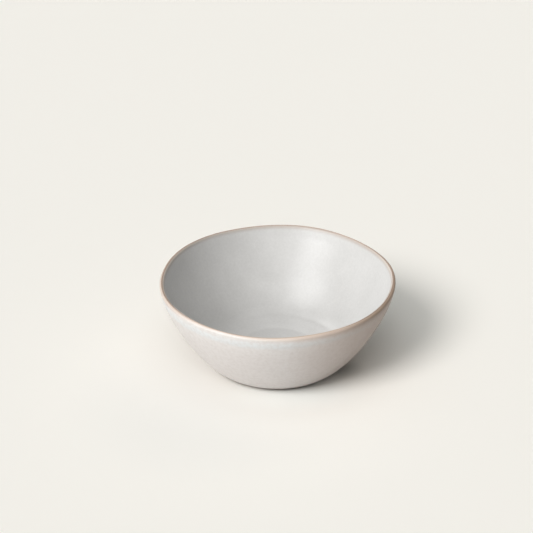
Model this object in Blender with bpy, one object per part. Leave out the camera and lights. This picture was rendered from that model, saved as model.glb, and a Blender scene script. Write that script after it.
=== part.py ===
# Breakfast bowl in glazed stoneware.
# A thrown clay body with a bare lip and a bare foot ring carries three separate coats of glaze:
# one on the inside, one on the outside and one in the recess under the base.
# Units are metres, +Z is up and the origin is the centre of the foot ring's resting face.

import math

import bmesh
import bpy
from mathutils import Vector

# Overall size
RIM_RADIUS = 0.080
HEIGHT = 0.062
SEGMENTS = 49

# Lip: a round edge between the two walls, each leaning outward a little
LIP_RADIUS = 0.0016
OUTER_LEAN = math.radians(8.0)
INNER_LEAN = math.radians(13.0)
LIP_POINTS = 7
LIP_CENTRE = Vector((RIM_RADIUS - LIP_RADIUS, HEIGHT - LIP_RADIUS))

# Outer wall: leaves the foot nearly flat and swells up to the lip
BELLY_RADIUS = 0.040
BELLY_RISE = math.radians(11.0)
BELLY_REACH = 0.0132
OUTER_LIP_REACH = 0.0184
OUTER_POINTS = 10

# Inside: a flat disc in the middle, a floor that rises a little around it, and a wall thickest at its base
FLOOR_TOP = 0.0075
DISC_RADIUS = 0.0265
FLOOR_RISE = math.radians(6.0)
FLOOR_RADIUS = 0.042
FLOOR_REACH = 0.010
INNER_LIP_REACH = 0.026
INNER_POINTS = 10

# Foot ring, turned out of the base
FOOT_RADIUS = 0.0395
FOOT_WIDTH = 0.0050
FOOT_HEIGHT = 0.0014
FOOT_ROUND = 0.0005
FOOT_ROUND_POINTS = 3
RECESS_DEPTH = 0.0025
RECESS_SLOPE = 0.0010

# Glaze coats: full depth over the walls, thin towards their edges
GLAZE_DEPTH = 0.0006
GLAZE_EDGE_DEPTH = 0.00025
GLAZE_FADE = 0.0030
GLAZE_GAP = 0.0003
SHOULDER = 0.0002
INNER_GLAZE_TOP = 0.0604
OUTER_GLAZE_TOP = 0.0592
OUTER_GLAZE_BOTTOM = 0.0014
UNDERSIDE_MARGIN = 0.0007

# Waver of the hand-made rim: (waves per turn, size, direction of the first crest)
ROUND_WAVER = (
    (1, 0.00027, math.radians(0.0)),
    (2, 0.00016, math.radians(95.0)),
    (3, 0.00024, math.radians(5.0)),
    (5, 0.00015, math.radians(0.0)),
    (6, 0.00023, math.radians(100.0)),
)
HEIGHT_WAVER = (
    (1, 0.00022, math.radians(0.0)),
    (5, 0.00014, math.radians(5.0)),
)

WELD = 0.000001
SHARP_ANGLE = math.radians(40.0)
BISECTIONS = 40


class Curve:
    """A cubic curve in the (radius, height) plane, given by two ends and the handles they pull on."""

    def __init__(self, start, start_handle, end_handle, end):
        self.points = [Vector(start), Vector(start_handle), Vector(end_handle), Vector(end)]

    def at(self, t):
        a, b, c, d = self.points
        s = 1.0 - t
        return a * s**3 + b * (3 * s * s * t) + c * (3 * s * t * t) + d * t**3

    def slope(self, t):
        a, b, c, d = self.points
        s = 1.0 - t
        return (b - a) * (3 * s * s) + (c - b) * (6 * s * t) + (d - c) * (3 * t * t)

    def outward(self, t):
        """Unit normal on the right-hand side of the curve, as it is followed from start to end."""
        step = self.slope(t).normalized()
        return Vector((step.y, -step.x))

    def past(self, t, distance):
        """The parameter a given distance further along the curve."""
        return t + distance / self.slope(t).length

    def at_height(self, height):
        """The parameter where a curve that only climbs reaches a height."""
        low = 0.0
        high = 1.0
        for _ in range(BISECTIONS):
            middle = (low + high) / 2
            if self.at(middle).y < height:
                low = middle
            else:
                high = middle
        return low


def along(angle, length):
    """A step in the (radius, height) plane, at an angle above the horizontal."""
    return Vector((math.cos(angle), math.sin(angle))) * length


def arc(centre, radius, start, end, count):
    """Points of an arc in the (radius, height) plane, both ends included."""
    points = []
    for index in range(count):
        angle = start + (end - start) * index / (count - 1)
        points.append(centre + along(angle, radius))
    return points


def outer_wall():
    """Outer face of the finished bowl, from the foot up to the lip."""
    start = Vector((BELLY_RADIUS, 0.0))
    end = LIP_CENTRE + along(-OUTER_LEAN, LIP_RADIUS)
    up = along(math.pi / 2 - OUTER_LEAN, OUTER_LIP_REACH)
    return Curve(start, start + along(BELLY_RISE, BELLY_REACH), end - up, end)


def inner_wall():
    """Inner face of the finished bowl, from the edge of the rising floor up to the lip."""
    floor_width = (FLOOR_RADIUS - DISC_RADIUS) / math.cos(FLOOR_RISE)
    start = Vector((DISC_RADIUS, FLOOR_TOP)) + along(FLOOR_RISE, floor_width)
    end = LIP_CENTRE + along(math.pi - INNER_LEAN, LIP_RADIUS)
    up = along(math.pi / 2 - INNER_LEAN, INNER_LIP_REACH)
    return Curve(start, start + along(FLOOR_RISE, FLOOR_REACH), end - up, end)


OUTER = outer_wall()
INNER = inner_wall()


def spread(low, high, count):
    """Parameters from low to high, closer together towards both ends."""
    values = []
    for index in range(count):
        share = (1.0 - math.cos(math.pi * index / (count - 1))) / 2
        values.append(low + (high - low) * share)
    return values


def glaze_depth(point, edges):
    """Depth of a coat at a point, from thin at its edges to full a fade's width away."""
    nearest = min((point - edge).length for edge in edges)
    share = min(1.0, nearest / GLAZE_FADE)
    return GLAZE_EDGE_DEPTH + (GLAZE_DEPTH - GLAZE_EDGE_DEPTH) * share


class Coat:
    """A stretch of glaze on a wall: its visible face, its back and the bed the clay has for it."""

    def __init__(self, curve, parameters, side, edges):
        self.face = []
        self.back = []
        self.bed = []
        for t in parameters:
            point = curve.at(t)
            inward = curve.outward(t) * -side
            depth = glaze_depth(point, edges)
            self.face.append(point)
            self.back.append(point + inward * depth)
            self.bed.append(point + inward * (depth + GLAZE_GAP))


def shoulder(curve, t, side, direction):
    """The low step of clay that a coat's edge comes up to, from its foot to its top."""
    low = curve.past(t, direction * GLAZE_GAP)
    high = curve.past(t, direction * (GLAZE_GAP + SHOULDER))
    foot = curve.at(low) - curve.outward(low) * side * (GLAZE_EDGE_DEPTH + GLAZE_GAP)
    return [foot, curve.at(high)]


INNER_TOP_T = INNER.at_height(INNER_GLAZE_TOP)
OUTER_TOP_T = OUTER.at_height(OUTER_GLAZE_TOP)
OUTER_BOTTOM_T = OUTER.at_height(OUTER_GLAZE_BOTTOM)
INNER_COAT = Coat(INNER, spread(0.0, INNER_TOP_T, INNER_POINTS), -1, [INNER.at(INNER_TOP_T)])
OUTER_COAT = Coat(
    OUTER,
    spread(OUTER_TOP_T, OUTER_BOTTOM_T, OUTER_POINTS),
    1,
    [OUTER.at(OUTER_TOP_T), OUTER.at(OUTER_BOTTOM_T)],
)
UNDERSIDE_RADIUS = FOOT_RADIUS - FOOT_WIDTH - RECESS_SLOPE - UNDERSIDE_MARGIN


def foot_section():
    """Section of the foot ring, from the belly inward to the recess beneath the base."""
    inner_radius = FOOT_RADIUS - FOOT_WIDTH
    quarter = math.pi / 2
    outer_round = Vector((FOOT_RADIUS - FOOT_ROUND, FOOT_ROUND))
    inner_round = Vector((inner_radius + FOOT_ROUND, FOOT_ROUND))
    points = [Vector((FOOT_RADIUS + FOOT_ROUND, FOOT_HEIGHT))]
    points.append(Vector((FOOT_RADIUS, FOOT_HEIGHT - FOOT_ROUND)))
    points += arc(outer_round, FOOT_ROUND, 0.0, -quarter, FOOT_ROUND_POINTS)
    points += arc(inner_round, FOOT_ROUND, -quarter, -2 * quarter, FOOT_ROUND_POINTS)
    points.append(Vector((inner_radius - RECESS_SLOPE, RECESS_DEPTH)))
    return points


def disc_section(depth):
    """The flat disc of the floor, from the axis to its edge, a depth below the finished face."""
    return [Vector((0.0, FLOOR_TOP - depth)), Vector((DISC_RADIUS, FLOOR_TOP - depth))]


def body_section():
    """Section of the clay body, from the centre of its floor, over the lip and round to its underside."""
    points = disc_section(GLAZE_DEPTH + GLAZE_GAP)
    points += INNER_COAT.bed
    points += shoulder(INNER, INNER_TOP_T, -1, 1)
    points += arc(LIP_CENTRE, LIP_RADIUS, math.pi - INNER_LEAN, -OUTER_LEAN, LIP_POINTS)
    points += reversed(shoulder(OUTER, OUTER_TOP_T, 1, 1))
    points += OUTER_COAT.bed
    points += shoulder(OUTER, OUTER_BOTTOM_T, 1, -1)
    points += foot_section()
    bed_height = RECESS_DEPTH + GLAZE_DEPTH + GLAZE_GAP
    points.append(Vector((UNDERSIDE_RADIUS + GLAZE_GAP, bed_height)))
    points.append(Vector((0.0, bed_height)))
    return points


def inside_section():
    """Section of the inside coat, out along its face to the lip and home along its back."""
    points = disc_section(0.0)
    points += INNER_COAT.face
    points += reversed(INNER_COAT.back)
    points += reversed(disc_section(GLAZE_DEPTH))
    return points


def outside_section():
    """Section of the outside coat, a closed band from under the lip to the foot."""
    points = OUTER_COAT.face + list(reversed(OUTER_COAT.back))
    points.append(OUTER_COAT.face[0])
    return points


def underside_section():
    """Section of the coat in the foot ring's recess, a thin disc with a softened lower edge."""
    top = RECESS_DEPTH + GLAZE_DEPTH
    low = RECESS_DEPTH
    return [
        Vector((0.0, top)),
        Vector((UNDERSIDE_RADIUS, top)),
        Vector((UNDERSIDE_RADIUS, low + GLAZE_EDGE_DEPTH)),
        Vector((UNDERSIDE_RADIUS - GLAZE_EDGE_DEPTH, low)),
        Vector((0.0, low)),
    ]


def waver(turn, waves):
    """Sum of a few waves round the rim, at an angle of turn."""
    return sum(size * math.cos(count * turn - crest) for count, size, crest in waves)


def bend(point):
    """Move a point of the true round bowl to its place on the hand-made one."""
    lift = max(0.0, (point.z - FLOOR_TOP) / (HEIGHT - FLOOR_TOP))
    turn = math.atan2(point.y, point.x)
    outward = Vector((math.cos(turn), math.sin(turn), 0.0))
    rise = Vector((0.0, 0.0, lift**2 * waver(turn, HEIGHT_WAVER)))
    return point + outward * lift * waver(turn, ROUND_WAVER) + rise


def turned(name, section):
    """Turn a section once round the bowl's axis, weld it shut and give it the hand-made waver."""
    bm = bmesh.new()
    verts = [bm.verts.new((point.x, 0.0, point.y)) for point in section]
    edges = [bm.edges.new(pair) for pair in zip(verts, verts[1:])]
    bmesh.ops.spin(
        bm,
        geom=verts + edges,
        cent=(0, 0, 0),
        axis=(0, 0, 1),
        angle=2 * math.pi,
        steps=SEGMENTS,
        use_merge=True,
    )
    bmesh.ops.remove_doubles(bm, verts=bm.verts, dist=WELD)
    bmesh.ops.recalc_face_normals(bm, faces=bm.faces)
    for vert in bm.verts:
        vert.co = bend(vert.co)
    mesh = bpy.data.meshes.new(name)
    bm.to_mesh(mesh)
    bm.free()
    mesh.shade_smooth()
    mesh.set_sharp_from_angle(angle=SHARP_ANGLE)
    return mesh


def linear(hex_colour):
    """Linear red, green, blue and alpha of a colour written as on screen."""
    channels = [int(hex_colour[start:start + 2], 16) / 255 for start in (1, 3, 5)]
    return [c / 12.92 if c <= 0.04045 else ((c + 0.055) / 1.055) ** 2.4 for c in channels] + [1.0]


def material(name, colour, roughness):
    """A fired surface of one colour."""
    made = bpy.data.materials.new(name)
    made.use_nodes = True
    shader = made.node_tree.nodes["Principled BSDF"]
    shader.inputs["Base Color"].default_value = linear(colour)
    shader.inputs["Roughness"].default_value = roughness
    shader.inputs["Metallic"].default_value = 0.0
    return made


def add_piece(name, section, surface, parent):
    """Put one turned piece of the bowl in the scene."""
    mesh = turned(name, section)
    mesh.materials.append(surface)
    piece = bpy.data.objects.new(name, mesh)
    piece.parent = parent
    bpy.context.scene.collection.objects.link(piece)
    return piece


def main():
    for old in list(bpy.data.objects):
        bpy.data.objects.remove(old)
    centre = bpy.data.objects.new("bowl_centre", None)
    bpy.context.scene.collection.objects.link(centre)
    clay = material("fired stoneware clay", "#C9AE96", 0.75)
    white = material("white satin glaze", "#DAD9D6", 0.36)
    beige = material("beige satin glaze", "#D5C9C0", 0.40)
    under = material("beige satin glaze under the base", "#CFC3BA", 0.45)
    add_piece("stoneware_body", body_section(), clay, centre)
    add_piece("inside_glaze", inside_section(), white, centre)
    add_piece("outside_glaze", outside_section(), beige, centre)
    add_piece("underside_glaze", underside_section(), under, centre)


main()
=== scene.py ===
# %% [markdown]
# # A glazed stoneware breakfast bowl
# A potter throws the clay body on a wheel, fires it, and pours glaze over it. The clay stays bare
# in two places: along the lip, where the glaze is wiped thin, and on the foot ring, where glaze
# would stick to the kiln shelf. The solid model holds the same four pieces, clay body and three
# coats, and fixes every size. This script turns the fine surface of each piece, mixes its glaze,
# and lights it like a studio picture.

# %% Load the solid model
import math

import bmesh
import bpy
import numpy as np
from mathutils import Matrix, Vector, noise
from mathutils.geometry import interpolate_bezier


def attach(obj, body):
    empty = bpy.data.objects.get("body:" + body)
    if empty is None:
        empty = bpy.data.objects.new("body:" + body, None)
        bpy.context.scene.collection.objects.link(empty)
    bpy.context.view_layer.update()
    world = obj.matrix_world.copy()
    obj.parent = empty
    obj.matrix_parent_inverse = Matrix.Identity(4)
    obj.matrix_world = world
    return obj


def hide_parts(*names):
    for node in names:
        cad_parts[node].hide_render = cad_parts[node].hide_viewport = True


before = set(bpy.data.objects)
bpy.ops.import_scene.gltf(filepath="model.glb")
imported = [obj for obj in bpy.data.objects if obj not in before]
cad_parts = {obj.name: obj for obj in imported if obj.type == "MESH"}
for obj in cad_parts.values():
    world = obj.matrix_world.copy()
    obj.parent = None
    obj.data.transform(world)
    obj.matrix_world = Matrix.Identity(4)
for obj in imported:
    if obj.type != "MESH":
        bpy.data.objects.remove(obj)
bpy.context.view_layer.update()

MM = 0.001

# %% [markdown]
# ## The section of the bowl
# Everything on a thrown bowl follows from one line, the one a potter would cut into a wooden
# template: along the floor, which is flat in the middle and rises gently round it, up the inner
# wall, over the lip and down the outer wall to the foot. The line could be drawn point by point,
# but two cubic curves and an arc need only their ends and the directions they have there, and these
# are the same few sizes that the solid model is built on.

# %% The inner wall, the lip and the outer wall
RIM_RADIUS = 80 * MM
HEIGHT = 62 * MM
LIP_RADIUS = 1.6 * MM
OUTER_LEAN = math.radians(8)
INNER_LEAN = math.radians(13)
FLOOR_TOP = 7.5 * MM
DISC_RADIUS = 26.5 * MM
FLOOR_RADIUS = 42 * MM
FLOOR_RISE = math.radians(6)
FLOOR_REACH = 10 * MM
INNER_LIP_REACH = 26 * MM
BELLY_RADIUS = 40 * MM
BELLY_RISE = math.radians(11)
BELLY_REACH = 13.2 * MM
OUTER_LIP_REACH = 18.4 * MM
CURVE_POINTS = 160
ARC_POINTS = 40


def along(angle, length):
    """A step in the plane of the section, at an angle above the floor."""
    return Vector((math.cos(angle), 0, math.sin(angle))) * length


def arc(centre, radius, start, end, count):
    """Points of an arc in the plane of the section."""
    angles = [start + (end - start) * i / (count - 1) for i in range(count)]
    return [centre + along(angle, radius) for angle in angles]


lip_centre = Vector((RIM_RADIUS - LIP_RADIUS, 0, HEIGHT - LIP_RADIUS))
lip = arc(lip_centre, LIP_RADIUS, math.pi - INNER_LEAN, -OUTER_LEAN, ARC_POINTS)
disc_edge = Vector((DISC_RADIUS, 0, FLOOR_TOP))
floor_edge = disc_edge + along(FLOOR_RISE, (FLOOR_RADIUS - DISC_RADIUS) / math.cos(FLOOR_RISE))
belly = Vector((BELLY_RADIUS, 0, 0))
inner_wall = interpolate_bezier(
    floor_edge,
    floor_edge + along(FLOOR_RISE, FLOOR_REACH),
    lip[0] - along(math.pi / 2 - INNER_LEAN, INNER_LIP_REACH),
    lip[0],
    CURVE_POINTS,
)
outer_wall = interpolate_bezier(
    lip[-1],
    lip[-1] - along(math.pi / 2 - OUTER_LEAN, OUTER_LIP_REACH),
    belly + along(BELLY_RISE, BELLY_REACH),
    belly,
    CURVE_POINTS,
)
floor_disc = [Vector((0, 0, FLOOR_TOP)), disc_edge]
section_line = floor_disc + inner_wall[:-1] + lip + outer_wall[1:]
print("section line:", len(section_line), "points")

# %% [markdown]
# ## Measuring along the section
# Glaze is not laid out by height or by radius. It runs and thins by how far it is from the lip,
# measured over the surface. So each place on the section is named by that distance: zero on the
# crest of the lip, negative on the inside, positive on the outside. Two small functions give the
# point and its outward direction at any distance, and every piece below is cut from the same line.

# %% A place on the section, by its distance from the lip
steps_along = [(b - a).length for a, b in zip(section_line, section_line[1:])]
travel = np.concatenate([[0.0], np.cumsum(steps_along)])
crest = max(range(len(section_line)), key=lambda i: section_line[i].z)
travel -= travel[crest]
line_radius = [point.x for point in section_line]
line_height = [point.z for point in section_line]
NUDGE = 0.05 * MM


def on_line(distance):
    """The point of the section at a distance from the lip's crest."""
    radius = np.interp(distance, travel, line_radius)
    height = np.interp(distance, travel, line_height)
    return Vector((radius, 0, height))


def outward(distance):
    """The direction out of the clay at that place."""
    step = (on_line(distance + NUDGE) - on_line(distance - NUDGE)).normalized()
    return Vector((-step.z, 0, step.x))


floor_centre, foot_end = travel[0], travel[-1]
print("lip to floor centre and to foot, mm:", round(floor_centre / MM, 1), round(foot_end / MM, 1))

# %% [markdown]
# ## The marks of making
# Fingers leave faint rings in thrown clay, a trimmed floor keeps soft ridges round its flat disc,
# and no rim is a true circle. All three are real shape, so they are modelled, not painted. The
# rings are a slow wave along the section, no higher than a hair is thick. The two ridges are bell
# curves, a tenth of a millimetre high. The rim's waver is a sum of a few waves round the turn, with
# the sizes of the solid model, and it fades to nothing at the floor.

# %% Throwing rings, the floor's ridges and the waver of the rim
RING_SPACING = 7 * MM
RING_HEIGHT = 0.015 * MM
FLOOR_RIDGES = (31 * MM, 38.5 * MM)
RIDGE_WIDTH = 1.8 * MM
RIDGE_HEIGHT = 0.09 * MM
CALM_LIP = 8 * MM
ROUND_WAVER = ((1, 0.27, 0), (2, 0.16, 95), (3, 0.24, 5), (5, 0.15, 0), (6, 0.23, 100))
HEIGHT_WAVER = ((1, 0.22, 0), (5, 0.14, 5))


def throwing_marks(distance):
    """How far the surface stands out from the plain section."""
    calm = min(1.0, abs(distance) / CALM_LIP)
    rings = RING_HEIGHT * calm * math.sin(2 * math.pi * distance / RING_SPACING)
    if distance > 0:
        return rings
    radius = on_line(distance).x
    bells = [math.exp(-(((radius - ridge) / RIDGE_WIDTH) ** 2)) for ridge in FLOOR_RIDGES]
    return rings + RIDGE_HEIGHT * sum(bells)


def waver(turn, waves):
    """Sum of the rim's waves at a turn; each has a count, a size in mm and its crest in degrees."""
    total = 0.0
    for count, size, top in waves:
        total += size * MM * math.cos(count * turn - math.radians(top))
    return total


def hand_made(point):
    """Move a point of the true round bowl to its place on the real one."""
    lift = max(0.0, (point.z - FLOOR_TOP) / (HEIGHT - FLOOR_TOP))
    turn = math.atan2(point.y, point.x)
    sideways = Vector((math.cos(turn), math.sin(turn), 0)) * lift * waver(turn, ROUND_WAVER)
    return point + sideways + Vector((0, 0, lift * lift * waver(turn, HEIGHT_WAVER)))


front_of_rim = hand_made(Vector((0, -RIM_RADIUS, HEIGHT)))
print("front of the rim, mm:", [round(place / MM, 2) for place in front_of_rim])

# %% [markdown]
# ## Turning a piece
# Each piece is a section spun once round the bowl's axis, which is what a potter's wheel does.
# Screw would do it as a modifier, but bmesh's spin also carries the distance from the lip along to
# every new vertex, and the glazes read that number later, in millimetres. Points on the axis are
# welded, the faces are turned outward, and last the hand-made waver and a slight unevenness move
# the vertices.

# %% Spin a section into a piece
TURN_STEPS = 240
WELD = 0.001 * MM
UNEVEN_SIZE = 14 * MM


def turned_piece(name, stations):
    """Spin stations of (point, distance from the lip, unevenness) into a closed piece."""
    bm = bmesh.new()
    from_lip = bm.verts.layers.float.new("from_lip")
    uneven = bm.verts.layers.float.new("uneven")
    line = []
    for point, distance, unevenness in stations:
        vert = bm.verts.new(point)
        vert[from_lip] = distance / MM
        vert[uneven] = unevenness
        line.append(vert)
    edges = [bm.edges.new(pair) for pair in zip(line, line[1:])]
    bmesh.ops.spin(
        bm,
        geom=line + edges,
        cent=(0, 0, 0),
        axis=(0, 0, 1),
        angle=2 * math.pi,
        steps=TURN_STEPS,
        use_merge=True,
    )
    bmesh.ops.remove_doubles(bm, verts=bm.verts, dist=WELD)
    bmesh.ops.recalc_face_normals(bm, faces=bm.faces)
    bm.normal_update()
    places = [v.co + v.normal * v[uneven] * noise.noise(v.co / UNEVEN_SIZE) for v in bm.verts]
    for vert, place in zip(bm.verts, places):
        vert.co = hand_made(place)
    mesh = bpy.data.meshes.new(name)
    bm.to_mesh(mesh)
    bm.free()
    mesh.shade_smooth()
    piece = bpy.data.objects.new(name, mesh)
    bpy.context.scene.collection.objects.link(piece)
    print(name, len(mesh.vertices), "vertices", len(mesh.polygons), "faces")
    return piece


# %% [markdown]
# ## How deep the glaze lies
# A coat of satin glaze is about half a millimetre deep on the walls and thins out to nothing where
# it was wiped from the lip and the foot. The clay has to give way by just as much, so both are
# worked out from one depth. The coat's face stands a hair proud of the bare clay, as melted glaze
# does at its edge.

# %% Glaze depth and the stations of a coat
GLAZE_DEPTH = 0.6 * MM
GLAZE_FADE = 5 * MM
PROUD = 0.03 * MM
HAIR_GAP = 0.02 * MM
INNER_EDGE = -0.4 * MM
OUTER_EDGE = 0.5 * MM
BARE_FOOT = 3.6 * MM
FOOT_EDGE = foot_end - BARE_FOOT
UNEVEN_GLAZE = 0.10 * MM


def glaze_depth(distance):
    """Depth of glaze at a place on the section; none on the bare lip and foot."""
    if distance < 0:
        from_edge = INNER_EDGE - distance
    else:
        from_edge = min(distance - OUTER_EDGE, FOOT_EDGE - distance)
    share = min(1.0, max(0.0, from_edge / GLAZE_FADE))
    return GLAZE_DEPTH * math.sin(share * math.pi / 2)


def spread(start, end, fine=0.3 * MM, coarse=1.3 * MM, near_lip=9 * MM):
    """Distances from start to end, close together near the lip."""
    places = [start]
    while places[-1] < end:
        places.append(places[-1] + (fine if abs(places[-1]) < near_lip else coarse))
    places[-1] = end
    return places


def coat_stations(places):
    """A coat's face in order, and its back home again."""
    face = []
    back = []
    for place in places:
        lift = PROUD + throwing_marks(place)
        face.append((on_line(place) + outward(place) * lift, place, UNEVEN_GLAZE))
        back.append((on_line(place) - outward(place) * glaze_depth(place), place, 0.0))
    return face + back[::-1]


inner_places = spread(floor_centre, INNER_EDGE)
outer_places = spread(OUTER_EDGE, FOOT_EDGE)
print("glaze on the floor, mm:", glaze_depth(floor_centre) / MM)
print("stations inside and outside:", len(inner_places), len(outer_places))

# %% [markdown]
# ## The clay body
# The body is the wall under the glaze, the bare lip and the turned foot. Its line follows the
# section, sunk by the depth of the glaze, and goes on round the foot ring: a low ring with softened
# edges, a little inside the belly, and a shallow recess within it.

# %% Turn the clay body
FOOT_RADIUS = 39.5 * MM
FOOT_WIDTH = 5 * MM
FOOT_HEIGHT = 1.4 * MM
FOOT_ROUND = 0.5 * MM
ROUND_POINTS = 6
RECESS_DEPTH = 2.5 * MM
RECESS_SLOPE = 1.0 * MM
UNDERSIDE_MARGIN = 0.7 * MM
UNDER_RADIUS = FOOT_RADIUS - FOOT_WIDTH - RECESS_SLOPE - UNDERSIDE_MARGIN
UNEVEN_CLAY = 0.03 * MM

body_stations = []
for place in inner_places + spread(INNER_EDGE, OUTER_EDGE)[1:-1] + outer_places:
    sunk = glaze_depth(place) + (HAIR_GAP if glaze_depth(place) else 0)
    bare = UNEVEN_CLAY if not glaze_depth(place) else 0.0
    body_stations.append((on_line(place) - outward(place) * sunk, place, bare))
quarter = math.pi / 2
ring_outside = Vector((FOOT_RADIUS - FOOT_ROUND, 0, FOOT_ROUND))
ring_inside = Vector((FOOT_RADIUS - FOOT_WIDTH + FOOT_ROUND, 0, FOOT_ROUND))
under_foot = [Vector((FOOT_RADIUS + FOOT_ROUND, 0, FOOT_HEIGHT))]
under_foot += [Vector((FOOT_RADIUS, 0, FOOT_HEIGHT - FOOT_ROUND))]
under_foot += arc(ring_outside, FOOT_ROUND, 0, -quarter, ROUND_POINTS)
under_foot += arc(ring_inside, FOOT_ROUND, -quarter, -2 * quarter, ROUND_POINTS)
under_foot += [Vector((FOOT_RADIUS - FOOT_WIDTH - RECESS_SLOPE, 0, RECESS_DEPTH))]
under_foot += [Vector((UNDER_RADIUS + HAIR_GAP, 0, RECESS_DEPTH + GLAZE_DEPTH + HAIR_GAP))]
under_foot += [Vector((0, 0, RECESS_DEPTH + GLAZE_DEPTH + HAIR_GAP))]
body_stations += [(point, foot_end, 0.0) for point in under_foot]
clay_body = turned_piece("clay_body", body_stations)
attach(clay_body, "root")
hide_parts("stoneware_body")

# %% [markdown]
# ## The three coats
# The inside coat is a bowl of glass about half a millimetre thick, the outside coat a band from the
# lip to the foot, and the third a disc in the recess under the base. They are separate because the
# bare lip and the bare foot ring part them.

# %% Turn the coats of glaze
DISC_ROUND = 0.3 * MM
inside_coat = turned_piece("inside_coat", coat_stations(inner_places))
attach(inside_coat, "root")
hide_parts("inside_glaze")

outer_loop = coat_stations(outer_places)
outside_coat = turned_piece("outside_coat", outer_loop + outer_loop[:1])
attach(outside_coat, "root")
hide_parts("outside_glaze")

disc_top = RECESS_DEPTH + GLAZE_DEPTH
disc_corner = Vector((UNDER_RADIUS - DISC_ROUND, 0, RECESS_DEPTH + DISC_ROUND))
disc_rim = arc(disc_corner, DISC_ROUND, 0, -quarter, ROUND_POINTS)
disc_line = [Vector((0, 0, disc_top)), Vector((UNDER_RADIUS, 0, disc_top))] + disc_rim
for share in (0.75, 0.5, 0.25, 0):
    disc_line.append(Vector((UNDER_RADIUS * share, 0, RECESS_DEPTH)))
under_coat = turned_piece("under_coat", [(point, foot_end, 0.0) for point in disc_line])
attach(under_coat, "root")
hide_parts("underside_glaze")

# %% [markdown]
# ## Colours and nodes
# Colours are written as they look on a screen and turned to the linear values that light adds up
# in. One function adds a node, sets its values, joins its inputs and hands back its output, so that
# each surface below reads as a recipe. Kiln and hand leave no two sides of a bowl alike, so a last
# helper points to one side by its angle of turn: 0 is the right of the picture, -90 the front.


# %% Helpers for materials
def linear(colour):
    """Linear red, green, blue and alpha of an on-screen hex colour."""
    channels = [int(colour[i:i + 2], 16) / 255 for i in (1, 3, 5)]
    return [c / 12.92 if c <= 0.04045 else ((c + 0.055) / 1.055) ** 2.4 for c in channels] + [1.0]


def add_node(tree, kind, inputs=None, steps=(), output=None, **settings):
    """Add a node, set it, give its inputs values or links and its ramp steps; return an output."""
    made = tree.nodes.new(kind)
    for key, value in settings.items():
        setattr(made, key, value)
    for key, value in (inputs or {}).items():
        if isinstance(value, bpy.types.NodeSocket):
            tree.links.new(value, made.inputs[key])
        else:
            made.inputs[key].default_value = value
    for i, (position, colour) in enumerate(steps):
        points = made.color_ramp.elements
        point = points[i] if i < len(points) else points.new(position)
        point.position = position
        point.color = linear(colour)
    if output:
        return made.outputs[output]
    return next(socket for socket in made.outputs if socket.enabled)


def new_surface(name, roughness):
    """A material and its Principled shader, with the roughness that a plain viewer shows."""
    made = bpy.data.materials.new(name)
    made.use_nodes = True
    shader = made.node_tree.nodes["Principled BSDF"]
    shader.inputs["Roughness"].default_value = roughness
    return made, made.node_tree, shader


def side(turn):
    """The level direction from the bowl's axis to its side at an angle of turn, in degrees."""
    return math.cos(math.radians(turn)), math.sin(math.radians(turn)), 0


print("white reads as", linear("#FFFFFF"))

# %% [markdown]
# ## Bare stoneware
# Stoneware is clay with fine sand in it, fired until it is dense. It could be one flat tan, but a
# noise sets the grains, and a short list of sides shifts the tan darker or paler the further a
# place lies that way. The darker tan on the left and the right is painted shade, and the paler tan
# in front and behind is painted light.

# %% Fired stoneware clay: its tan
# Sanded clay gives the eye a matt, warm line with fine grains and no gleam. The grit is drawn about
# twice its real size so that it shows.
GRIT = 0.7 * MM
# The darker tan is painted shade and the paler one painted light.
PAINTED_SHADE_CLAY, PAINTED_LIGHT_CLAY = "#7D6A58", "#C2AE9D"
# Each tone of painted shade or light: its side, how far that way it starts and is full, its share,
# and its colour.
LIP_TONES = (
    (-28, 66 * MM, 79 * MM, 0.85, PAINTED_SHADE_CLAY),
    (178, 60 * MM, 76 * MM, 0.45, PAINTED_SHADE_CLAY),
    (-100, 42 * MM, 68 * MM, 0.72, PAINTED_LIGHT_CLAY),
    (70, 50 * MM, 70 * MM, 0.35, PAINTED_LIGHT_CLAY),
)
clay, tree, shader = new_surface("fired stoneware, unglazed and sanded", 0.72)
place = add_node(tree, "ShaderNodeTexCoord", output="Object")
grit = add_node(tree, "ShaderNodeTexNoise", {"Vector": place, "Scale": 1 / GRIT, "Detail": 3.0})
grains = [(0.30, "#8B786B"), (0.50, "#998476"), (0.72, "#A69284")]
tone = add_node(tree, "ShaderNodeValToRGB", {"Fac": grit}, grains)
for turn, start, full, share, colour in LIP_TONES:
    towards = {0: place, 1: side(turn)}
    that_way = add_node(tree, "ShaderNodeVectorMath", towards, operation="DOT_PRODUCT")
    ends = {"Value": that_way, "From Min": start, "From Max": full, "To Max": share}
    amount = add_node(tree, "ShaderNodeMapRange", ends)
    tones = {"Factor": amount, "A": tone, "B": linear(colour)}
    tone = add_node(tree, "ShaderNodeMix", tones, data_type="RGBA")
tree.links.new(tone, shader.inputs["Base Color"])
print("grit, mm:", GRIT / MM, "tones along the lip:", len(LIP_TONES))

# %% [markdown]
# ## The skin of the clay
# Sanding takes the sharp edge off the lip but leaves its grains standing, a twentieth of a
# millimetre proud. That is too low to be worth modelling, so the noise that colours the grains also
# raises them as a bump, and makes the pale ones drier.

# %% Fired stoneware clay: its skin
GRIT_DEPTH = 0.05 * MM
relief = {"Height": grit, "Strength": 0.35, "Distance": GRIT_DEPTH}
sandy = add_node(tree, "ShaderNodeBump", relief)
tree.links.new(sandy, shader.inputs["Normal"])
dry = add_node(tree, "ShaderNodeMapRange", {"Value": grit, "To Min": 0.62, "To Max": 0.86})
tree.links.new(dry, shader.inputs["Roughness"])
clay_body.data.materials.append(clay)
print("made", clay.name)

# %% [markdown]
# ## The white inside glaze
# A satin glaze is glass filled with crystals too small to see. One flat white would look like
# plastic, so two noises vary it: slow clouds where the crystals lie thicker, and fine flecks all
# over.

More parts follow.
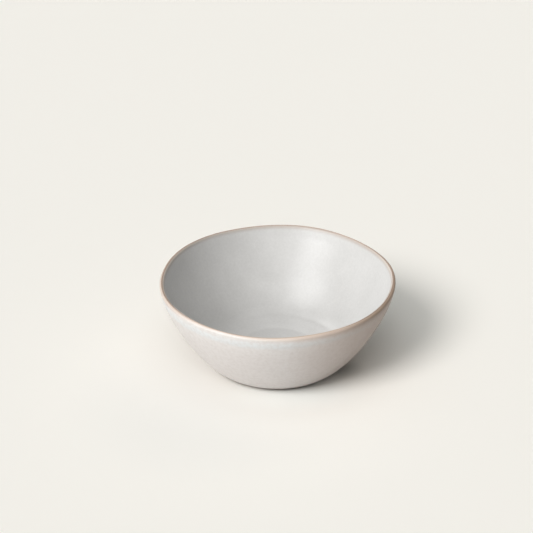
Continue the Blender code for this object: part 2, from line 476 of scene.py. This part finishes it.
# %% White satin glaze: clouds and flecks
# A satin white gives the eye a soft, cool light with no sharp reflection in it.
CLOUD = 16 * MM
FLECK = 1.6 * MM
white, tree, shader = new_surface("white satin glaze", 0.34)
place = add_node(tree, "ShaderNodeTexCoord", output="Object")
cloud = add_node(tree, "ShaderNodeTexNoise", {"Vector": place, "Scale": 1 / CLOUD, "Detail": 3.0})
fleck = add_node(tree, "ShaderNodeTexNoise", {"Vector": place, "Scale": 1 / FLECK, "Detail": 2.0})
whites = [(0.30, "#C1C0BE"), (0.70, "#C6C5C3")]
tone = add_node(tree, "ShaderNodeValToRGB", {"Fac": cloud}, whites)
flecked = {"Factor": 0.09, "A": tone, "B": fleck}
tone = add_node(tree, "ShaderNodeMix", flecked, data_type="RGBA", blend_type="OVERLAY")
print("clouds, mm:", CLOUD / MM, "flecks, mm:", FLECK / MM)

# %% [markdown]
# ## Where the inside coat is thin
# A fired glaze shows how thick it lies. Towards the lip it thins and the clay warms it. That warmth
# is weaker at the front left, where the inner lip lies in shade: painted light. The distance from
# the lip drives the warmth, so it stays true to the bowl's shape.

# %% White satin glaze: its warm edge
# Painted light: the warm edge fades at the front left, where the inner lip is in shade.
PAINTED_LIGHT_SIDE = -112
PAINTED_LIGHT_FROM, PAINTED_LIGHT_FULL = 45 * MM, 72 * MM
# Millimetres from the lip, as the attribute holds them.
WARM_STARTS, WARM_FULL = -4.0, -0.2
from_lip = add_node(tree, "ShaderNodeAttribute", attribute_name="from_lip", output="Fac")
towards = {0: place, 1: side(PAINTED_LIGHT_SIDE)}
that_way = add_node(tree, "ShaderNodeVectorMath", towards, operation="DOT_PRODUCT")
ends = {"Value": that_way, "From Min": PAINTED_LIGHT_FROM, "From Max": PAINTED_LIGHT_FULL}
warm_share = add_node(tree, "ShaderNodeMapRange", ends | {"To Min": 0.92, "To Max": 0.30})
ends = {"Value": from_lip, "From Min": WARM_STARTS, "From Max": WARM_FULL, "To Max": warm_share}
warm = add_node(tree, "ShaderNodeMapRange", ends, interpolation_type="SMOOTHSTEP")
warmed = {"Factor": warm, "A": tone, "B": linear("#A3958A")}
tone = add_node(tree, "ShaderNodeMix", warmed, data_type="RGBA")
print("warm edge, mm:", WARM_FULL - WARM_STARTS)

# %% [markdown]
# ## Where the inside coat gathered, and its painted shade
# Melted glaze creeps down into hollows. The flat disc of the floor is a shade greyer, partly from
# glaze lying thicker and partly painted shade; the corner below the wall is greyer with painted
# shade alone. A ramp over the distance from the bowl's axis gives both.

# %% White satin glaze: its pools and painted shade
POOL_AND_SHADE_REACH = 60 * MM
flat = {0: place, 1: (1.0, 1.0, 0.0)}
level = add_node(tree, "ShaderNodeVectorMath", flat, operation="MULTIPLY")
radius = add_node(tree, "ShaderNodeVectorMath", {0: level}, operation="LENGTH")
outwards = add_node(tree, "ShaderNodeMapRange", {"Value": radius, "From Max": POOL_AND_SHADE_REACH})
# Greyer on the floor's disc, partly thicker glaze and partly painted shade, and in the corner below
# the wall, painted shade.
disc = [(0.42, "#F2F2F2"), (0.46, "#FBFBFB"), (0.66, "#FBFBFB")]
corner = [(0.79, "#F5F5F5"), (0.86, "#F6F6F6"), (1.00, "#FFFFFF")]
pool_and_shade = add_node(tree, "ShaderNodeValToRGB", {"Fac": outwards}, disc + corner)
pooled_and_shaded = {"Factor": 1.0, "A": tone, "B": pool_and_shade}
tone = add_node(tree, "ShaderNodeMix", pooled_and_shaded, data_type="RGBA", blend_type="MULTIPLY")
tree.links.new(tone, shader.inputs["Base Color"])
print("coloured", white.name)

# %% [markdown]
# ## The skin of the white glaze
# Melted glass levels itself as it cools, but never quite: under a lamp its skin has the faint
# dimples of an orange peel. They could be modelled, but at three hundredths of a millimetre a bump
# is enough. The clouds that tint the glaze also make it glossier or duller, because both come from
# its crystals.

# %% White satin glaze: its skin
PEEL = 2.2 * MM
PEEL_DEPTH = 0.03 * MM
satin = add_node(tree, "ShaderNodeMapRange", {"Value": cloud, "To Min": 0.30, "To Max": 0.40})
tree.links.new(satin, shader.inputs["Roughness"])
peel = add_node(tree, "ShaderNodeTexNoise", {"Vector": place, "Scale": 1 / PEEL, "Detail": 2.0})
relief = {"Height": peel, "Strength": 0.5, "Distance": PEEL_DEPTH}
dimpled = add_node(tree, "ShaderNodeBump", relief)
tree.links.new(dimpled, shader.inputs["Normal"])
inside_coat.data.materials.append(white)
print("made", white.name)

# %% [markdown]
# ## The beige outside glaze
# Outside, the same pour ran down the wall. Just below the lip it gathered and stayed cool and
# white; lower down it is a warm beige with fine specks where crystals have grown. A gradient by
# height would draw a hard ring, so the distance from the lip is first shifted by a slow noise, and
# the bands wander as a run does.

# %% Beige satin glaze: its bands and specks
# A satin beige gives the eye a warm wall that is nearly matt, under a whiter shoulder.
MOTTLE = 2.4 * MM
WANDER = 11 * MM
# Millimetres from the lip: how far the bands wander, and where the run starts and ends.
SWAY = 3.0
RUN_STARTS, RUN_ENDS = 1.5, 21.5
beige, tree, shader = new_surface("beige satin glaze with a white shoulder", 0.40)
place = add_node(tree, "ShaderNodeTexCoord", output="Object")
from_lip = add_node(tree, "ShaderNodeAttribute", attribute_name="from_lip", output="Fac")
slow = {"Vector": place, "Scale": 1 / WANDER, "Detail": 2.0}
wander = add_node(tree, "ShaderNodeTexNoise", slow)
sway = {0: wander, 1: SWAY, 2: from_lip}
shifted = add_node(tree, "ShaderNodeMath", sway, operation="MULTIPLY_ADD")
ends = {"Value": shifted, "From Min": RUN_STARTS, "From Max": RUN_ENDS}
run = add_node(tree, "ShaderNodeMapRange", ends)
shoulder = [(0.00, "#C8C0BA"), (0.16, "#D9D5D1"), (0.28, "#D9D9D8"), (0.40, "#D5D6D5")]
wall = [(0.55, "#D8D3CF"), (1.00, "#D7D1CD")]
tone = add_node(tree, "ShaderNodeValToRGB", {"Fac": run}, shoulder + wall)
fine = {"Vector": place, "Scale": 1 / MOTTLE, "Detail": 3.0}
mottle = add_node(tree, "ShaderNodeTexNoise", fine)
ends = {"Value": mottle, "From Min": 0.40, "From Max": 0.72, "To Max": 0.48}
specks = add_node(tree, "ShaderNodeMapRange", ends)
specked = {"Factor": specks, "A": tone, "B": linear("#C9C1BB")}
tone = add_node(tree, "ShaderNodeMix", specked, data_type="RGBA")
print("specks, mm:", MOTTLE / MM)

# %% [markdown]
# ## Painted shade on the right of the outside coat
# Towards the right, away from the main lamps, the wall turns darker and warmer, towards a clay tan.
# That is painted shade. How far across the bowl a place lies drives it.

# %% Beige satin glaze: painted shade on the right
# Painted shade: darker and warmer towards the right, the side in shade.
SHADE_FROM, SHADE_FULL = 5 * MM, 75 * MM
across = add_node(tree, "ShaderNodeSeparateXYZ", {"Vector": place})
ends = {"Value": across, "From Min": SHADE_FROM, "From Max": SHADE_FULL, "To Max": 0.70}
right_shade = add_node(tree, "ShaderNodeMapRange", ends)
right_shaded = {"Factor": right_shade, "A": tone, "B": linear("#AE907C")}
tone = add_node(tree, "ShaderNodeMix", right_shaded, data_type="RGBA")
print("clay shows through, mm across:", round(SHADE_FROM / MM), "to", round(SHADE_FULL / MM))

# %% [markdown]
# ## The tan fringe
# Along the lip the outside coat was wiped with the sponge, and the clay shows through it as a tan
# fringe. From its narrowest place, a little left of the middle, it widens from one millimetre to
# eight on the right. Its tan darkens towards both sides, most on the right, and that darkness and
# the extra width on the shaded right are partly painted shade. The same measure across the bowl
# gives its width and its tan, and the distance from the lip fades it out.

# %% Beige satin glaze: its tan fringe
FRINGE_NARROWEST_AT = -35 * MM
FRINGE_SPAN = 80 * MM
# Millimetres from the lip.
FRINGE_NARROW, FRINGE_WIDE = 0.9, 8.0
beside = add_node(tree, "ShaderNodeMath", {0: across, 1: FRINGE_NARROWEST_AT}, operation="SUBTRACT")
drift = add_node(tree, "ShaderNodeMath", {0: beside}, operation="ABSOLUTE")
widths = {"To Min": FRINGE_NARROW, "To Max": FRINGE_WIDE}
reach = add_node(tree, "ShaderNodeMapRange", {"Value": drift, "From Max": FRINGE_SPAN} | widths)
ends = {"Value": from_lip, "From Min": OUTER_EDGE / MM, "From Max": reach}
fades = ends | {"To Min": 0.8, "To Max": 0.0}
fringe = add_node(tree, "ShaderNodeMapRange", fades, interpolation_type="SMOOTHSTEP")
left_to_right = {"Value": across, "From Min": -RIM_RADIUS, "From Max": RIM_RADIUS}
turned = add_node(tree, "ShaderNodeMapRange", left_to_right)
# The fringe's tan is the clay's own; its darkening towards the sides, most on the right, is painted
# shade.
left_tans = [(0.03, "#B09D8E"), (0.16, "#C8B8AB"), (0.28, "#CDBFB3")]
right_tans = [(0.50, "#CAB8A9"), (0.75, "#BCA797"), (0.91, "#8E7865")]
tan = add_node(tree, "ShaderNodeValToRGB", {"Fac": turned}, left_tans + right_tans)
fringed = {"Factor": fringe, "A": tone, "B": tan}
tone = add_node(tree, "ShaderNodeMix", fringed, data_type="RGBA")
tree.links.new(tone, shader.inputs["Base Color"])
print("fringe, mm:", FRINGE_NARROW, "at the front left,", FRINGE_WIDE, "on the right")

# %% [markdown]
# ## The skin of the beige glaze
# The outside has the same peel as the inside. Its specks make it duller, and within a few
# millimetres of the lip, where there was too little glaze to melt smooth, it is as dry as the clay.
# That keeps the lip from shining like a metal rim.

# %% Beige satin glaze: its skin
# Millimetres from the lip.
SMOOTH_FROM = 4.0
satin = add_node(tree, "ShaderNodeMapRange", {"Value": mottle, "To Min": 0.34, "To Max": 0.48})
ends = {"Value": from_lip, "From Min": OUTER_EDGE / MM, "From Max": SMOOTH_FROM}
starved = add_node(tree, "ShaderNodeMapRange", ends | {"To Min": 0.22, "To Max": 0.0})
rough = add_node(tree, "ShaderNodeMath", {0: satin, 1: starved}, operation="ADD")
tree.links.new(rough, shader.inputs["Roughness"])
peel = add_node(tree, "ShaderNodeTexNoise", {"Vector": place, "Scale": 1 / PEEL, "Detail": 2.0})
relief = {"Height": peel, "Strength": 0.5, "Distance": PEEL_DEPTH}
dimpled = add_node(tree, "ShaderNodeBump", relief)
tree.links.new(dimpled, shader.inputs["Normal"])
outside_coat.data.materials.append(beige)
under_coat.data.materials.append(beige)
print("made", beige.name)

# %% [markdown]
# ## The paper
# The bowl stands on seamless pale paper. A real roll curves up behind the bowl, but seen from above
# a flat plane looks the same, if it is so wide that its edge is never seen.

# %% The sheet
FLOOR_SIZE = 12.0
bm = bmesh.new()
bmesh.ops.create_grid(bm, x_segments=1, y_segments=1, size=FLOOR_SIZE / 2)
floor_mesh = bpy.data.meshes.new("floor")
bm.to_mesh(floor_mesh)
bm.free()
floor = bpy.data.objects.new("floor", floor_mesh)
bpy.context.scene.collection.objects.link(floor)
print("paper, m:", FLOOR_SIZE)

# %% [markdown]
# ## Only for the eye
# A renderer follows light backwards from the camera, and one node tells what each ray is for. That
# lets a surface look one way to the eye, straight or in a reflection, and light its neighbours
# another way. The paper and the room both need it, so it is a helper.


# %% Tell the eye's rays from the rest
def seen_directly(tree):
    """One for rays that show the background to the eye, straight or reflected, zero for others."""
    rays = add_node(tree, "ShaderNodeLightPath").node.outputs
    straight_or_gloss = {0: rays["Is Camera Ray"], 1: rays["Is Glossy Ray"]}
    either = add_node(tree, "ShaderNodeMath", straight_or_gloss, operation="ADD")
    every = {0: either, 1: rays["Is Transmission Ray"]}
    return add_node(tree, "ShaderNodeMath", every, operation="ADD", use_clamp=True)


# %% [markdown]
# ## What the paper shows
# The paper's colour is only for the eye: light that it throws back at the bowl comes from a greyer
# tone, as from paper further off. The bowl in turn throws warm light on the paper around it, which
# the picture hardly shows. So the paper is tinted in three places: a wide, slightly blue patch of
# painted shade against that light before the bright side, a whiter white of painted light before
# the foot, where the shade would turn brown, and a painted shadow where the wall hangs over the
# foot on the right.

# %% Pale background paper
# Matt paper gives the eye a calm, even ground that takes a soft shadow and no reflection.
FLOOR_COLOUR = "#FEFAF3"
FLOOR_BOUNCE = "#C9C9C7"
# Each tint of painted shade, light or shadow: its centre and its reach on the paper, how much of it
# there is, and its colour.
PAPER_TINTS = (
    (Vector((-44, -62, 0)) * MM, Vector((118, 110, 1)) * MM, 0.120, "#3A6C88"),
    (Vector((10, -46, 0)) * MM, Vector((56, 30, 1)) * MM, 0.90, "#FDFFFB"),
    (Vector((41, -14, 0)) * MM, Vector((23, 19, 1)) * MM, 0.45, "#20262C"),
)
paper, tree, shader = new_surface("pale background paper", 0.95)
place = add_node(tree, "ShaderNodeTexCoord", output="Object")
tone = linear(FLOOR_COLOUR)
for centre, reach, share, colour in PAPER_TINTS:
    aside = add_node(tree, "ShaderNodeVectorMath", {0: place, 1: centre}, operation="SUBTRACT")
    shares = add_node(tree, "ShaderNodeVectorMath", {0: aside, 1: reach}, operation="DIVIDE")
    apart = add_node(tree, "ShaderNodeVectorMath", {0: shares}, operation="LENGTH")
    ends = {"Value": apart, "To Min": share, "To Max": 0.0}
    amount = add_node(tree, "ShaderNodeMapRange", ends, interpolation_type="SMOOTHSTEP")
    tones = {"Factor": amount, "A": tone, "B": linear(colour)}
    tone = add_node(tree, "ShaderNodeMix", tones, data_type="RGBA")
shades = {"Factor": seen_directly(tree), "A": linear(FLOOR_BOUNCE), "B": tone}
shade = add_node(tree, "ShaderNodeMix", shades, data_type="RGBA")
tree.links.new(shade, shader.inputs["Base Color"])
shader.inputs["Specular IOR Level"].default_value = 0.0
floor_mesh.materials.append(paper)
print("made", paper.name)

# %% [markdown]
# ## The room's own light
# A white studio is never quite dark away from its lamps. A weak even world gives that fill. What
# the eye sees beyond the paper is a second background in the paper's tone, so that the two never
# show a seam.

# %% The world
FILL = 0.12
BACKGROUND = "#F2EFE8"
world = bpy.data.worlds.new("studio")
world.use_nodes = True
bpy.context.scene.world = world
tree = world.node_tree
fill = tree.nodes["Background"]
fill.inputs["Color"].default_value = linear("#F6F9FA")
fill.inputs["Strength"].default_value = FILL
seen = add_node(tree, "ShaderNodeBackground", {"Color": linear(BACKGROUND), "Strength": 1.0})
both = {0: seen_directly(tree), 1: fill.outputs[0], 2: seen}
either = add_node(tree, "ShaderNodeMixShader", both)
tree.links.new(either, tree.nodes["World Output"].inputs["Surface"])
print("fill", FILL)

# %% [markdown]
# ## The lamps
# A sun lamp with a wide angle acts as a large softbox far away: soft shadow, even light. One lamp
# could light everything, but the picture has a close, dark shadow and broad soft patches in the
# glaze at the same time, and a lamp wide enough for the patches would wash the shadow out. A studio
# keeps them apart with flags, and light linking does the same here: some lamps reach only the bowl
# and some only the paper.

# %% Flags between the bowl and the paper
bowl_only = bpy.data.collections.new("flagged off the paper")
for piece in (clay_body, inside_coat, outside_coat, under_coat):
    bowl_only.objects.link(piece)
paper_only = bpy.data.collections.new("flagged off the bowl")
paper_only.objects.link(floor)

# %% [markdown]
# ## Where the lamps stand
# The shadow lies to the back right, so the main lamps stand at the front left. A lamp is placed by
# its angle round the bowl and its height, in degrees, as a photographer would note it, and its
# width sets how soft it is.


# %% Softboxes
def softbox(name, azimuth, elevation, width, level, lights=None, colour="#FFFFFF"):
    """A far, wide lamp; azimuth 0 is the camera's side, and level 1 fully lights a white card."""
    lamp = bpy.data.lights.new(name, "SUN")
    lamp.angle = math.radians(width)
    lamp.energy = level * math.pi
    lamp.color = linear(colour)[:3]
    stand = bpy.data.objects.new(name, lamp)
    turn, height = math.radians(azimuth), math.radians(elevation)
    ahead, up = math.cos(height), math.sin(height)
    to_lamp = Vector((math.sin(turn) * ahead, -math.cos(turn) * ahead, up))
    stand.rotation_euler = to_lamp.to_track_quat("Z", "Y").to_euler()
    stand.light_linking.receiver_collection = lights
    bpy.context.scene.collection.objects.link(stand)


# The paper's own: one lamp throws the shadow to the back right, and two weak ones open it.
softbox("shadow softbox", -40, 41, 24, 0.65, paper_only, "#FFFDFC")
softbox("high softbox", -14, 53, 24, 0.08, paper_only)
softbox("sky softbox", 0, 80, 110, 0.14, paper_only, "#F3FFFF")
# This one lights both.
softbox("top softbox", 0, 75, 50, 0.17)
# The bowl's own: the key and the low lamp make the two soft patches on the inner wall.
softbox("key softbox", -45, 41, 40, 0.69, bowl_only)
softbox("middle softbox", -31, 21, 22, 0.06, bowl_only)
softbox("low softbox", -43, 3, 30, 0.60, bowl_only)
# Weak lamps open its shaded sides, and two behind it light the far lip and the near inner wall.
softbox("front softbox", 10, 20, 40, 0.07, bowl_only)
softbox("right softbox", 60, 36, 40, 0.04, bowl_only)
softbox("left softbox", -80, 46, 40, 0.05, bowl_only)
softbox("back softbox", -150, 32, 46, 0.40, bowl_only)
softbox("high back softbox", -140, 55, 40, 0.10, bowl_only)
print("lamps:", len(bpy.data.lights))

# %% [markdown]
# ## The camera
# The picture was taken from about 29 degrees above the table with a long lens, which hardly narrows
# the far side of the rim. The camera stands 1.4 m away and looks at a point just above the bowl and
# a little left of its middle, because the bowl sits right of and below the middle of the frame.

# %% Place the camera
PICTURE_WIDTH = 533
DISTANCE = 1400 * MM
ELEVATION = math.radians(28.79)
AIM = Vector((-6.96, 0, 71.51)) * MM
LENS = 139.92
SENSOR = 36.0
lens = bpy.data.cameras.new("camera")
lens.lens = LENS
lens.sensor_width = SENSOR
camera = bpy.data.objects.new("camera", lens)
back = Vector((0, -math.cos(ELEVATION), math.sin(ELEVATION)))
camera.location = AIM + back * DISTANCE
camera.rotation_euler = back.to_track_quat("Z", "Y").to_euler()
bpy.context.scene.collection.objects.link(camera)
bpy.context.scene.camera = camera
bpy.context.scene.view_settings.view_transform = "Standard"
pixels = LENS / SENSOR * PICTURE_WIDTH * MM / DISTANCE
print("one mm on the bowl is about", round(pixels, 2), "pixels")
